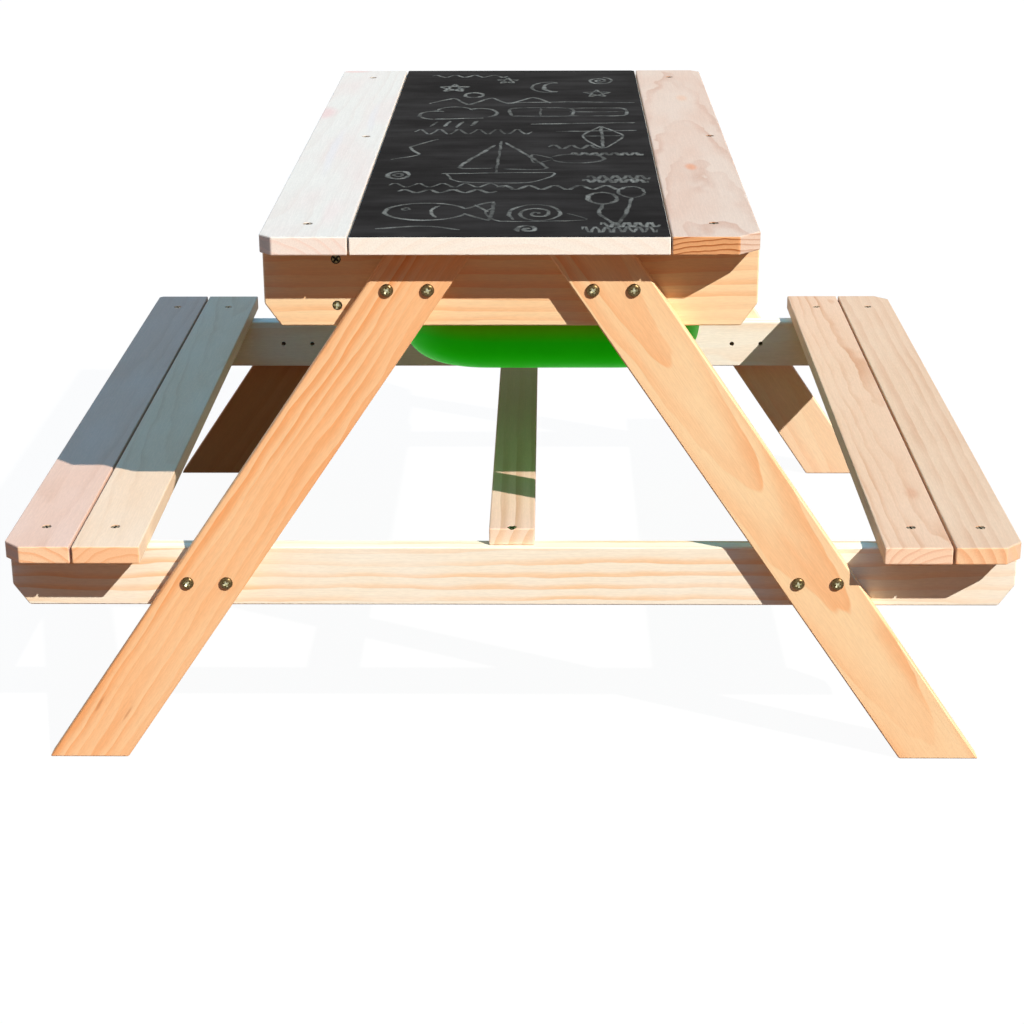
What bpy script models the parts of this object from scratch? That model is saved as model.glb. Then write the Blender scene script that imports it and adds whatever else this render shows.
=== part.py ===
"""Children's picnic table with a sand tub under its lift-off lid.

Units are metres, +Z is up, and the origin is on the ground under the middle of the table.
The table's length runs along Y. Front is -Y, back is +Y, left is -X and right is +X.
Two end frames, each a short upper rail and a long lower rail on a pair of splayed legs,
carry two fixed top planks, four seat planks and a stretcher. Two well boards between the
upper rails carry the sand tub by its rim, and the lid lies over it between the top planks.
"""

import math

import bmesh
import bpy
from mathutils import Matrix, Vector

# Clearances
FIT_GAP = 0.0003            # between pieces that touch, and round a screw in its hole
CUT_OVERRUN = 0.004         # how far a cutter runs on past the face it opens

# Timber stock
PLANK_T = 0.016             # top planks, lid, seats, stretcher and lid cleats
RAIL_T = 0.018              # cross rails and well boards
LEG_T = 0.016
PLANK_EDGE_R = 0.0011       # eased edges of the planks
FRAME_EDGE_R = 0.0011       # eased edges of rails, legs and well boards
LID_EDGE_R = 0.0008

# Whole table
TABLE_HEIGHT = 0.496        # ground to the top face of planks and lid
TABLE_LENGTH = 0.864        # over the seats
RAIL_OVERHANG = 0.051       # from the ends of the seats to the middles of the rails

# Table top
TOP_SETBACK = 0.001         # each end of the top stops this far inside the seats' ends
TOP_PLANK_W = 0.075
LID_W = 0.270
LID_GAP = 0.0015            # between the lid and each top plank
LID_CLIP_BACK_RIGHT = 0.004
TOP_CLIP_FRONT_LEFT = 0.011
TOP_CLIP_FRONT_RIGHT = 0.019
TOP_CLIP_BACK_LEFT = 0.004
TOP_CLIP_BACK_RIGHT = 0.010

# Lid cleats, which keep the lid over the tub
CLEAT_W = 0.038
CLEAT_END_GAP = 0.012       # between a cleat and the tub's end wall

# Seats
SEAT_HEIGHT = 0.218
SEAT_PLANK_W = 0.0598
SEAT_GAP = 0.0024
LEG_ROOM = 0.1165           # seen from above, between the table top and the seat
SEAT_CLIP_FRONT = 0.015
SEAT_CLIP_BACK_LEFT = 0.004
SEAT_CLIP_BACK_RIGHT = 0.015

# Cross rails
UPPER_RAIL_H = 0.072
UPPER_RAIL_PROUD = 0.0015   # how far the upper rail ends pass the table top
LOWER_RAIL_H = 0.056
LOWER_RAIL_PROUD = 0.003    # how far the lower rail ends pass the seats
RAIL_CLIP_W = 0.014
RAIL_CLIP_H = 0.020

# Legs
LEG_W = 0.060
LEG_FOOT_X = 0.428          # outer corner of the foot from the middle
LEG_HEAD_X = 0.102          # outer corner of the head from the middle

# Stretcher
STRETCHER_W = 0.041
STRETCHER_SETBACK = 0.005   # its ends stop short of the rails' outer faces

# Well boards and sand tub
WELL_BOARD_H = 0.066
WELL_LEFT_INSET = 0.0135    # board's middle outside the left plank's inner edge
WELL_RIGHT_SETBACK = 0.0145  # board's middle inside the right plank's outer edge
TUB_RIM_T = 0.004
TUB_RIM_REST = 0.004        # how far the rim lies on each well board
TUB_END_RIM_W = 0.008
TUB_END_GAP = 0.003         # between the rim and the rails
TUB_LEFT_GAP = 0.028        # between the body at its rim and the left well board
TUB_RIGHT_GAP = 0.002       # the same at the right well board
TUB_RIM_CORNER_R = 0.030
TUB_CORNER_R = 0.092        # upright corners
TUB_BOTTOM_R = 0.020
TUB_DEPTH = 0.129
TUB_WALL_T = 0.003
TUB_DRAFT = math.radians(8)

# Leg screws, round heads that stand on the legs
LEG_SCREW_PITCH = 0.035
UPPER_SCREWS_INWARD = 0.002  # the upper pair stands this far inside the leg's middle
LEG_SCREW_SHANK_R = 0.0025
LEG_SCREW_HEAD_R = 0.0057
LEG_SCREW_HEAD_H = 0.0034
LEG_SCREW_RIM_H = 0.0012    # upright edge of the head below its dome
LEG_SCREW_POINT = 0.0008    # how far the point shows past the rail's inner face

# Plank screws, countersunk
PLANK_SCREW_SHANK_R = 0.0022
PLANK_SCREW_HEAD_R = 0.0042
PLANK_SCREW_HEAD_H = 0.0030
PLANK_SCREW_LENGTH = 0.044
PLANK_SCREW_SUNK = 0.0004
MIDDLE_SCREW_Y = 0.015
MIDDLE_SCREW_OUT_LEFT = 0.004
MIDDLE_SCREW_OUT_RIGHT = 0
WELL_SCREW_TOP_INSET = 0.0085
WELL_SCREW_BOTTOM_INSET = 0.0165

# Counts of facets
PLANK_EDGE_SEGMENTS = 2
FRAME_EDGE_SEGMENTS = 1
SCREW_SIDES = 10
TUB_CORNER_SEGMENTS = 6
TUB_FILLET_SEGMENTS = 3

# Finishes: colour in linear RGB, roughness, metallic
FINISHES = {
    "planed_pine": ((0.78, 0.56, 0.34), 0.6, 0),
    "planed_larch": ((0.80, 0.46, 0.22), 0.6, 0),
    "blackboard_paint": ((0.025, 0.024, 0.024), 0.7, 0),
    "green_polypropylene": ((0.01, 0.27, 0.01), 0.4, 0),
    "bronze_plated_steel": ((0.12, 0.09, 0.05), 0.4, 1),
    "zinc_plated_steel": ((0.42, 0.40, 0.34), 0.35, 1),
}
SMOOTH_UP_TO = math.radians(40)

# Eased edges as radius and count of facets
PLANK_EDGE = (PLANK_EDGE_R, PLANK_EDGE_SEGMENTS)
FRAME_EDGE = (FRAME_EDGE_R, FRAME_EDGE_SEGMENTS)
LID_EDGE = (LID_EDGE_R, FRAME_EDGE_SEGMENTS)

# Heights and places that follow from the sizes above
PLANK_UNDER_Z = TABLE_HEIGHT - PLANK_T
UPPER_RAIL_TOP_Z = PLANK_UNDER_Z - FIT_GAP
UPPER_RAIL_BOTTOM_Z = UPPER_RAIL_TOP_Z - UPPER_RAIL_H
LOWER_RAIL_TOP_Z = SEAT_HEIGHT - PLANK_T - FIT_GAP
LOWER_RAIL_BOTTOM_Z = LOWER_RAIL_TOP_Z - LOWER_RAIL_H
SEAT_HALF_L = TABLE_LENGTH / 2
TOP_HALF_L = SEAT_HALF_L - TOP_SETBACK
RAIL_Y = SEAT_HALF_L - RAIL_OVERHANG
RAIL_INNER_Y = RAIL_Y - RAIL_T / 2
RAIL_OUTER_Y = RAIL_Y + RAIL_T / 2
LEG_INNER_Y = RAIL_OUTER_Y + FIT_GAP
LEG_OUTER_Y = LEG_INNER_Y + LEG_T

TOP_PLANK_INNER_X = LID_W / 2 + LID_GAP
TOP_PLANK_OUTER_X = TOP_PLANK_INNER_X + TOP_PLANK_W
TOP_SCREW_X = (TOP_PLANK_INNER_X + TOP_PLANK_OUTER_X) / 2
UPPER_RAIL_END_X = TOP_PLANK_OUTER_X + UPPER_RAIL_PROUD
SEAT_INNER_X = TOP_PLANK_OUTER_X + LEG_ROOM
SEAT_SPLIT_X = SEAT_INNER_X + SEAT_PLANK_W
SEAT_OUTER_X = SEAT_SPLIT_X + SEAT_GAP + SEAT_PLANK_W
LOWER_RAIL_END_X = SEAT_OUTER_X + LOWER_RAIL_PROUD

WELL_LEFT_X = -(TOP_PLANK_INNER_X + WELL_LEFT_INSET)
WELL_RIGHT_X = TOP_PLANK_OUTER_X - WELL_RIGHT_SETBACK
WELL_BOARD_TOP_Z = PLANK_UNDER_Z - TUB_RIM_T - 2 * FIT_GAP
WELL_BOARD_BOTTOM_Z = WELL_BOARD_TOP_Z - WELL_BOARD_H
RIM_X = (WELL_LEFT_X + WELL_RIGHT_X) / 2
TUB_RIM_HALF_W = (WELL_RIGHT_X - WELL_LEFT_X - RAIL_T) / 2 + TUB_RIM_REST
TUB_RIM_HALF_L = RAIL_INNER_Y - TUB_END_GAP
TUB_LEFT_X = WELL_LEFT_X + RAIL_T / 2 + TUB_LEFT_GAP
TUB_RIGHT_X = WELL_RIGHT_X - RAIL_T / 2 - TUB_RIGHT_GAP
TUB_X = (TUB_LEFT_X + TUB_RIGHT_X) / 2
TUB_HALF_W = (TUB_RIGHT_X - TUB_LEFT_X) / 2
TUB_HALF_L = TUB_RIM_HALF_L - TUB_END_RIM_W
TUB_RIM_TOP_Z = PLANK_UNDER_Z - FIT_GAP
CLEAT_OUTER_Y = TUB_HALF_L - TUB_WALL_T - CLEAT_END_GAP
CLEAT_LEFT_X = TUB_LEFT_X + TUB_CORNER_R
CLEAT_RIGHT_X = TUB_RIGHT_X - TUB_CORNER_R

ENDS = (("front", -1), ("back", 1))
SIDES = (("left", -1), ("right", 1))


def finish(name):
    """A plain Principled material."""
    colour, roughness, metallic = FINISHES[name]
    made = bpy.data.materials.new(name)
    made.use_nodes = True
    shader = made.node_tree.nodes["Principled BSDF"]
    shader.inputs["Base Color"].default_value = (*colour, 1)
    shader.inputs["Roughness"].default_value = roughness
    shader.inputs["Metallic"].default_value = metallic
    return made


def new_object(name, mesh, place, parent=None, material=None):
    """Links a mesh as an object at a place, under its parent."""
    made = bpy.data.objects.new(name, mesh)
    bpy.context.scene.collection.objects.link(made)
    made.location = place
    if parent:
        made.parent = parent
        made.matrix_parent_inverse = Matrix.Translation(-parent.location)
    if material:
        made.data.materials.append(material)
    return made


def closed_mesh(name, form):
    """Turns a bmesh into a mesh whose faces point out."""
    bmesh.ops.recalc_face_normals(form, faces=form.faces)
    mesh = bpy.data.meshes.new(name)
    form.to_mesh(mesh)
    form.free()
    return mesh


def board(name, outline, across, low, thickness, edge, parent, material):
    """A board: its outline in the two axes other than across, extruded along across from low."""
    axes = [axis for axis in range(3) if axis != "XYZ".index(across)]
    middle = Vector((0, 0, 0))
    for number, axis in enumerate(axes):
        values = [point[number] for point in outline]
        middle[axis] = (min(values) + max(values)) / 2
    middle["XYZ".index(across)] = low + thickness / 2
    form = bmesh.new()
    ring = []
    for point in outline:
        corner = Vector((0, 0, 0))
        corner[axes[0]], corner[axes[1]] = point
        corner["XYZ".index(across)] = low
        ring.append(form.verts.new(corner - middle))
    face = form.faces.new(ring)
    raised = bmesh.ops.extrude_face_region(form, geom=[face])["geom"]
    lift = Vector((0, 0, 0))
    lift["XYZ".index(across)] = thickness
    moved = [item for item in raised if isinstance(item, bmesh.types.BMVert)]
    bmesh.ops.translate(form, verts=moved, vec=lift)
    made = new_object(name, closed_mesh(name, form), middle, parent, material)
    eased = made.modifiers.new("eased_edges", "BEVEL")
    eased.width, eased.segments = edge
    eased.limit_method = "ANGLE"
    return made


def clipped(low, high, low_low=0, high_low=0, high_high=0, low_high=0, tall=1):
    """A rectangle from low to high with a clip at each corner, anticlockwise from the low corner.

    Each clip runs its size along the first axis, and tall times its size along the second.
    """
    x0, y0 = low
    x1, y1 = high
    corners = (
        ((x0, y0), (0, 1), (1, 0), low_low),
        ((x1, y0), (-1, 0), (0, 1), high_low),
        ((x1, y1), (0, -1), (-1, 0), high_high),
        ((x0, y1), (1, 0), (0, -1), low_high),
    )
    outline = []
    for (x, y), before, after, size in corners:
        if size:
            for dx, dy in (before, after):
                outline.append((x + dx * size, y + dy * size * tall))
        else:
            outline.append((x, y))
    return outline


def turned(name, profile, sides=SCREW_SIDES):
    """A closed turned solid. The profile is (radius, height) from one pole to the other."""
    form = bmesh.new()
    rings = []
    for radius, height in profile:
        if radius:
            turns = [math.tau * step / sides for step in range(sides)]
            ring = [(radius * math.cos(turn), radius * math.sin(turn), height) for turn in turns]
        else:
            ring = [(0, 0, height)]
        rings.append([form.verts.new(point) for point in ring])
    for low, high in zip(rings, rings[1:]):
        for step in range(sides):
            after = (step + 1) % sides
            around = [low[step % len(low)], low[after % len(low)]]
            around += [high[after % len(high)], high[step % len(high)]]
            form.faces.new(list(dict.fromkeys(around)))
    return closed_mesh(name, form)


def leg_screw_length():
    return LEG_T + FIT_GAP + RAIL_T + FIT_GAP + LEG_SCREW_POINT


def leg_screw_profile():
    """A round head on a shank, its point first; height 0 is under the head."""
    length = leg_screw_length()
    dome = LEG_SCREW_HEAD_H - LEG_SCREW_RIM_H
    shoulder = math.radians(45)
    return (
        (0, -length),
        (LEG_SCREW_SHANK_R, -length + LEG_SCREW_SHANK_R / 2),
        (LEG_SCREW_SHANK_R, 0),
        (LEG_SCREW_HEAD_R, 0),
        (LEG_SCREW_HEAD_R, LEG_SCREW_RIM_H),
        (LEG_SCREW_HEAD_R * math.cos(shoulder), LEG_SCREW_RIM_H + dome * math.sin(shoulder)),
        (0, LEG_SCREW_HEAD_H),
    )


def plank_screw_profile():
    """A countersunk screw, its point first; height 0 is the flat of its head."""
    return (
        (0, -PLANK_SCREW_LENGTH),
        (PLANK_SCREW_SHANK_R, -PLANK_SCREW_LENGTH + 2 * PLANK_SCREW_SHANK_R),
        (PLANK_SCREW_SHANK_R, -PLANK_SCREW_HEAD_H),
        (PLANK_SCREW_HEAD_R, 0),
        (0, 0),
    )


def leg_screw_hole():
    wide = LEG_SCREW_SHANK_R + FIT_GAP
    deep = leg_screw_length() + CUT_OVERRUN
    return ((0, -deep), (wide, -deep), (wide, CUT_OVERRUN), (0, CUT_OVERRUN))


def plank_screw_hole():
    """The screw's own shape with clearance, open above its head."""
    wide = PLANK_SCREW_SHANK_R + FIT_GAP
    mouth = PLANK_SCREW_HEAD_R + FIT_GAP
    deep = PLANK_SCREW_LENGTH + FIT_GAP
    return (
        (0, -deep),
        (wide, -deep + 2 * wide),
        (wide, -PLANK_SCREW_HEAD_H - FIT_GAP),
        (mouth, -FIT_GAP),
        (mouth, CUT_OVERRUN),
        (0, CUT_OVERRUN),
    )


def screw(name, kind, place, inward, boards, parent, material):
    """A screw whose head is at place and which points inward, with its hole in each board."""
    turn = Vector((0, 0, -1)).rotation_difference(Vector(inward))
    made = new_object(name, kind["mesh"], place, parent)
    made.rotation_mode = "QUATERNION"
    made.rotation_quaternion = turn
    if not kind["mesh"].materials:
        kind["mesh"].materials.append(material)
    for wood in boards:
        holes.setdefault(wood.name, (wood, []))[1].append((kind["hole"], Vector(place), turn))


def drill(wood, drilled):
    """Cuts all of a board's screw holes with one Boolean."""
    form = bmesh.new()
    for profile, place, turn in drilled:
        start = len(form.verts)
        form.from_mesh(profile)
        form.verts.ensure_lookup_table()
        move = Matrix.Translation(place) @ turn.to_matrix().to_4x4()
        bmesh.ops.transform(form, matrix=move, verts=form.verts[start:])
    name = f"cutter_{wood.name}"
    cutter = new_object(name, closed_mesh(name, form), (0, 0, 0))
    cutter.hide_render = True
    cutter.display_type = "WIRE"
    cut = wood.modifiers.new("screw_holes", "BOOLEAN")
    cut.operation = "DIFFERENCE"
    cut.solver = "EXACT"
    cut.object = cutter


def rounded_ring(middle_x, half_w, half_l, radius, height):
    """Points round a rectangle with round corners."""
    points = []
    centres = (
        (half_w - radius, half_l - radius, 0),
        (radius - half_w, half_l - radius, 1),
        (radius - half_w, radius - half_l, 2),
        (half_w - radius, radius - half_l, 3),
    )
    for x, y, quarter in centres:
        for step in range(TUB_CORNER_SEGMENTS + 1):
            turn = math.radians(90) * (quarter + step / TUB_CORNER_SEGMENTS)
            across = middle_x + x + radius * math.cos(turn)
            points.append((across, y + radius * math.sin(turn), height))
    return points


def tub_shell(inset, floor, fillet, mouth):
    """Rings of one face of the tub's body from its mouth down to its floor."""
    rings = []
    slope = math.tan(TUB_DRAFT)

    def ring(height, further=0):
        drawn = inset + (TUB_RIM_TOP_Z - height) * slope + further
        corner = max(TUB_CORNER_R - drawn, fillet / 2)
        return rounded_ring(TUB_X, TUB_HALF_W - drawn, TUB_HALF_L - drawn, corner, height)

    rings.append(ring(mouth))
    for step in range(TUB_FILLET_SEGMENTS + 1):
        turn = math.radians(90) * step / TUB_FILLET_SEGMENTS
        rings.append(ring(floor + fillet * (1 - math.sin(turn)), fillet * (1 - math.cos(turn))))
    return rings


def sand_tub(parent, material):
    """The moulded tub: rim, drafted walls and filleted floor, open at the top."""
    rim_under = TUB_RIM_TOP_Z - TUB_RIM_T
    floor = TUB_RIM_TOP_Z - TUB_DEPTH
    outside = tub_shell(0, floor, TUB_BOTTOM_R, rim_under)
    inside = tub_shell(TUB_WALL_T, floor + TUB_WALL_T, TUB_BOTTOM_R - TUB_WALL_T, TUB_RIM_TOP_Z)
    rim = [
        rounded_ring(RIM_X, TUB_RIM_HALF_W, TUB_RIM_HALF_L, TUB_RIM_CORNER_R, height)
        for height in (rim_under, TUB_RIM_TOP_Z)
    ]
    form = bmesh.new()
    middle = Vector((TUB_X, 0, TUB_RIM_TOP_Z))
    rings = []
    for points in list(reversed(outside)) + rim + inside:
        rings.append([form.verts.new(Vector(point) - middle) for point in points])
    around = len(rings[0])
    for low, high in zip(rings, rings[1:]):
        for step in range(around):
            after = (step + 1) % around
            form.faces.new((low[step], low[after], high[after], high[step]))
    form.faces.new(rings[0])
    form.faces.new(rings[-1])
    mesh = closed_mesh("sand_tub", form)
    mesh.shade_smooth()
    mesh.set_sharp_from_angle(angle=SMOOTH_UP_TO)
    return new_object("sand_tub", mesh, middle, parent, material)


def leg_outer_x(height):
    """The leg's outer edge at a height."""
    return LEG_FOOT_X + (LEG_HEAD_X - LEG_FOOT_X) * height / UPPER_RAIL_TOP_Z


def leg_level_w():
    """The leg's width measured level, which its slope makes longer than its real width."""
    slope = math.atan2(LEG_FOOT_X - LEG_HEAD_X, UPPER_RAIL_TOP_Z)
    return LEG_W / math.cos(slope)


def make_top(frame, lid, wood, paint):
    """Two fixed top planks, and the lid with its cleats along the tub's straight end walls."""
    planks = {}
    for side, sign in SIDES:
        xs = sorted((sign * TOP_PLANK_INNER_X, sign * TOP_PLANK_OUTER_X))
        clips = {"low_low": TOP_CLIP_FRONT_LEFT, "low_high": TOP_CLIP_BACK_LEFT}
        if sign > 0:
            clips = {"high_low": TOP_CLIP_FRONT_RIGHT, "high_high": TOP_CLIP_BACK_RIGHT}
        outline = clipped((xs[0], -TOP_HALF_L), (xs[1], TOP_HALF_L), **clips)
        planks[side] = board(f"top_plank_{side}", outline, "Z", PLANK_UNDER_Z, PLANK_T,
                             PLANK_EDGE, frame, wood)
    outline = clipped((-LID_W / 2, -TOP_HALF_L), (LID_W / 2, TOP_HALF_L),
                      high_high=LID_CLIP_BACK_RIGHT)
    board("lid_panel", outline, "Z", PLANK_UNDER_Z, PLANK_T, LID_EDGE, lid, paint)
    for end, sign in ENDS:
        ys = sorted((sign * CLEAT_OUTER_Y, sign * (CLEAT_OUTER_Y - CLEAT_W)))
        outline = clipped((CLEAT_LEFT_X, ys[0]), (CLEAT_RIGHT_X, ys[1]))
        low = PLANK_UNDER_Z - FIT_GAP - PLANK_T
        board(f"lid_cleat_{end}", outline, "Z", low, PLANK_T, FRAME_EDGE, lid, wood)
    return planks


def make_rails(frame, wood):
    """The front and back cross rails, with their lower corners clipped."""
    rails = {}
    levels = (
        ("upper", UPPER_RAIL_END_X, UPPER_RAIL_BOTTOM_Z, UPPER_RAIL_TOP_Z),
        ("lower", LOWER_RAIL_END_X, LOWER_RAIL_BOTTOM_Z, LOWER_RAIL_TOP_Z),
    )
    for level, end_x, bottom, top in levels:
        for end, sign in ENDS:
            outline = clipped((-end_x, bottom), (end_x, top), low_low=RAIL_CLIP_W,
                              high_low=RAIL_CLIP_W, tall=RAIL_CLIP_H / RAIL_CLIP_W)
            rails[level, end] = board(f"{level}_rail_{end}", outline, "Y",
                                      sign * RAIL_Y - RAIL_T / 2, RAIL_T, FRAME_EDGE, frame, wood)
    return rails


def make_legs(frame, wood):
    """Four splayed legs on the outer faces of the rails, cut level at foot and head."""
    legs = {}
    level_w = leg_level_w()
    for end, end_sign in ENDS:
        for side, sign in SIDES:
            outline = [
                (sign * LEG_FOOT_X, 0),
                (sign * (LEG_FOOT_X - level_w), 0),
                (sign * (LEG_HEAD_X - level_w), UPPER_RAIL_TOP_Z),
                (sign * LEG_HEAD_X, UPPER_RAIL_TOP_Z),
            ]
            low = min(end_sign * LEG_INNER_Y, end_sign * LEG_OUTER_Y)
            legs[end, side] = board(f"leg_{end}_{side}", outline, "Y", low, LEG_T,
                                    FRAME_EDGE, frame, wood)
    return legs


def make_seats(frame, wood):
    """Two seats of two planks each; the outer planks have clipped corners."""
    seats = {}
    for side, sign in SIDES:
        back = SEAT_CLIP_BACK_LEFT if sign < 0 else SEAT_CLIP_BACK_RIGHT
        for part, near_x in (("inner", SEAT_INNER_X), ("outer", SEAT_SPLIT_X + SEAT_GAP)):
            xs = sorted((sign * near_x, sign * (near_x + SEAT_PLANK_W)))
            clips = {}
            if part == "outer":
                corners = ("low_low", "low_high") if sign < 0 else ("high_low", "high_high")
                clips = dict(zip(corners, (SEAT_CLIP_FRONT, back)))
            outline = clipped((xs[0], -SEAT_HALF_L), (xs[1], SEAT_HALF_L), **clips)
            low = SEAT_HEIGHT - PLANK_T
            seats[side, part] = board(f"seat_plank_{side}_{part}", outline, "Z", low, PLANK_T,
                                      PLANK_EDGE, frame, wood)
    return seats


def make_well_boards(frame, wood):
    """The two boards between the upper rails that carry the tub's rim."""
    boards = {}
    half = RAIL_INNER_Y - FIT_GAP
    outline = clipped((-half, WELL_BOARD_BOTTOM_Z), (half, WELL_BOARD_TOP_Z))
    for side, x in (("left", WELL_LEFT_X), ("right", WELL_RIGHT_X)):
        boards[side] = board(f"well_board_{side}", outline, "X", x - RAIL_T / 2, RAIL_T,
                             FRAME_EDGE, frame, wood)
    return boards


def make_stretcher(frame, wood):
    half_w, half_l = STRETCHER_W / 2, RAIL_OUTER_Y - STRETCHER_SETBACK
    outline = clipped((-half_w, -half_l), (half_w, half_l))
    low = SEAT_HEIGHT - PLANK_T
    return board("stretcher", outline, "Z", low, PLANK_T, PLANK_EDGE, frame, wood)


def make_screws(planks, rails, legs, seats, wells, stretcher, frame, metals):
    """All screws: four a leg, and those of the planks, well boards and stretcher."""
    round_head = {"mesh": turned("leg_screw", leg_screw_profile()),
                  "hole": turned("leg_screw_hole", leg_screw_hole())}
    flat_head = {"mesh": turned("plank_screw", plank_screw_profile()),
                 "hole": turned("plank_screw_hole", plank_screw_hole())}
    round_head["mesh"].shade_smooth()
    round_head["mesh"].set_sharp_from_angle(angle=SMOOTH_UP_TO)
    down = (0, 0, -1)
    levels = (("upper", (UPPER_RAIL_BOTTOM_Z + UPPER_RAIL_TOP_Z) / 2, UPPER_SCREWS_INWARD),
              ("lower", (LOWER_RAIL_BOTTOM_Z + LOWER_RAIL_TOP_Z) / 2, 0))
    for end, end_sign in ENDS:
        for side, sign in SIDES:
            for level, height, inward in levels:
                middle = leg_outer_x(height) - leg_level_w() / 2 - inward
                for part, step in (("inner", -1), ("outer", 1)):
                    x = sign * (middle + step * LEG_SCREW_PITCH / 2)
                    place = (x, end_sign * (LEG_OUTER_Y + FIT_GAP), height)
                    screw(f"leg_screw_{end}_{side}_{level}_{part}", round_head, place,
                          (0, -end_sign, 0), (legs[end, side], rails[level, end]), frame,
                          metals["bronze"])
    top = TABLE_HEIGHT - PLANK_SCREW_SUNK
    seat_top = SEAT_HEIGHT - PLANK_SCREW_SUNK
    middles = (("left", WELL_LEFT_X - MIDDLE_SCREW_OUT_LEFT),
               ("right", WELL_RIGHT_X + MIDDLE_SCREW_OUT_RIGHT))
    for side, x in middles:
        screw(f"top_screw_{side}_middle", flat_head, (x, MIDDLE_SCREW_Y, top), down,
              (planks[side], wells[side]), frame, metals["zinc"])
    for end, end_sign in ENDS:
        y = end_sign * RAIL_Y
        for side, sign in SIDES:
            screw(f"top_screw_{side}_{end}", flat_head, (sign * TOP_SCREW_X, y, top), down,
                  (planks[side], rails["upper", end]), frame, metals["zinc"])
            for part, near_x in (("inner", SEAT_INNER_X), ("outer", SEAT_SPLIT_X + SEAT_GAP)):
                x = sign * (near_x + SEAT_PLANK_W / 2)
                screw(f"seat_screw_{side}_{part}_{end}", flat_head, (x, y, seat_top), down,
                      (seats[side, part], rails["lower", end]), frame, metals["zinc"])
        screw(f"stretcher_screw_{end}", flat_head, (0, y, seat_top), down,
              (stretcher, rails["lower", end]), frame, metals["zinc"])
    well_ends = (("left", "front", WELL_LEFT_X), ("left", "back", WELL_LEFT_X),
                 ("right", "back", WELL_RIGHT_X))
    well_levels = (("upper", WELL_BOARD_TOP_Z - WELL_SCREW_TOP_INSET),
                   ("lower", WELL_BOARD_BOTTOM_Z + WELL_SCREW_BOTTOM_INSET))
    for side, end, x in well_ends:
        end_sign = dict(ENDS)[end]
        for level, height in well_levels:
            place = (x, end_sign * (RAIL_OUTER_Y - PLANK_SCREW_SUNK), height)
            screw(f"well_screw_{side}_{end}_{level}", flat_head, place, (0, -end_sign, 0),
                  (rails["upper", end], wells[side]), frame, metals["zinc"])


for old in list(bpy.data.objects):
    bpy.data.objects.remove(old)

holes = {}
frame = new_object("frame", None, (0, 0, 0))
lid = new_object("lid", None, (0, 0, PLANK_UNDER_Z), frame)
pine = finish("planed_pine")
larch = finish("planed_larch")
plastic = finish("green_polypropylene")
metals = {"bronze": finish("bronze_plated_steel"), "zinc": finish("zinc_plated_steel")}

planks = make_top(frame, lid, pine, finish("blackboard_paint"))
rails = make_rails(frame, pine)
legs = make_legs(frame, larch)
seats = make_seats(frame, pine)
wells = make_well_boards(frame, pine)
stretcher = make_stretcher(frame, pine)
sand_tub(frame, plastic)
make_screws(planks, rails, legs, seats, wells, stretcher, frame, metals)
for drilled_wood, drilled_holes in holes.values():
    drill(drilled_wood, drilled_holes)
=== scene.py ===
"""Looks of a children's picnic table: planed pine and larch, a blackboard lid and a sand tub.

Lengths are metres unless a name ends in _MM or a comment says mm. Colours are sRGB hex values.
"""

import functools
import math
import random
import bmesh
import bpy
from mathutils import Euler, Matrix, Vector


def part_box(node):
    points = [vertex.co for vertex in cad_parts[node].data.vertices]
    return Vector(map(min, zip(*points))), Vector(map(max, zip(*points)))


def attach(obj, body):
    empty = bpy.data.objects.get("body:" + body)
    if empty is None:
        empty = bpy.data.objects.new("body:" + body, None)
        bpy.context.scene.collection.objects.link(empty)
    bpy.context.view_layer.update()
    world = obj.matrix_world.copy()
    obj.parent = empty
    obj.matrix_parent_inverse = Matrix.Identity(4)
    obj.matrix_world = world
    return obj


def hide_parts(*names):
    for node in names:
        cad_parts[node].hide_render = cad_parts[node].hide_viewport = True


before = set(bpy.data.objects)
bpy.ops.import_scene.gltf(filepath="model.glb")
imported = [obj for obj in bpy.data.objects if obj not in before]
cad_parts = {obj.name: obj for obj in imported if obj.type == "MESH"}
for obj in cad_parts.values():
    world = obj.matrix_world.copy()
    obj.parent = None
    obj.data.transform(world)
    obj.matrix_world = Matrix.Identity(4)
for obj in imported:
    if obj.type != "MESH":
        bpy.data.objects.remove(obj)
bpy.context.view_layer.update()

MM = 0.001
FRAME_BODY = "frame"
LID_BODY = "lid"

# Camera, found by fitting the photograph's corners and screws
CAMERA_PLACE = (0.0328, -2.2724, 0.9291)
CAMERA_YAW = math.radians(-0.99)
CAMERA_DOWN = math.radians(20.22)
CAMERA_ROLL = math.radians(-0.29)
CAMERA_LENS_MM = 78.97
CAMERA_SENSOR_MM = 36

# Light: a key lamp from the right, the front and above, and a soft fill. The fill's colours go by
# the height of the direction that they come from, from level (0) to straight up (1): brown at the
# level and below it, blue from above. A grey one takes over from behind and the left
KEY_FROM = (0.558, -0.534, 0.636)
KEY_COLOUR = "#FFF8EF"
KEY_STRENGTH = 4.97
KEY_SPREAD = math.radians(0.6)
FILL_COLOURS = ((0, "#5C3C2C"), (0.3, "#74503F"), (0.6, "#5A6870"), (1, "#30B6FF"))
FILL_BEHIND = "#B8B6B4"
BEHIND = (-0.8, 0.5, -0.33)
BEHIND_SHARES = (0.2, 0.75)
FILL_STRENGTH = 1.3
FLOOR_HALF = 20
FLOOR_BOUNCE = "#6E4C3C"
FLOOR_SHADOW_SHARE = 0.045
WHITE = "#FFFFFF"

# Turns that set a board's local Z along its grain
LEG_SLOPE = math.radians(34.2)
ALONG_Y = (math.radians(90), 0, 0)
ALONG_X = (0, math.radians(-90), 0)
LEFT_LEG = (0, LEG_SLOPE, 0)
RIGHT_LEG = (0, -LEG_SLOPE, 0)

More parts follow.
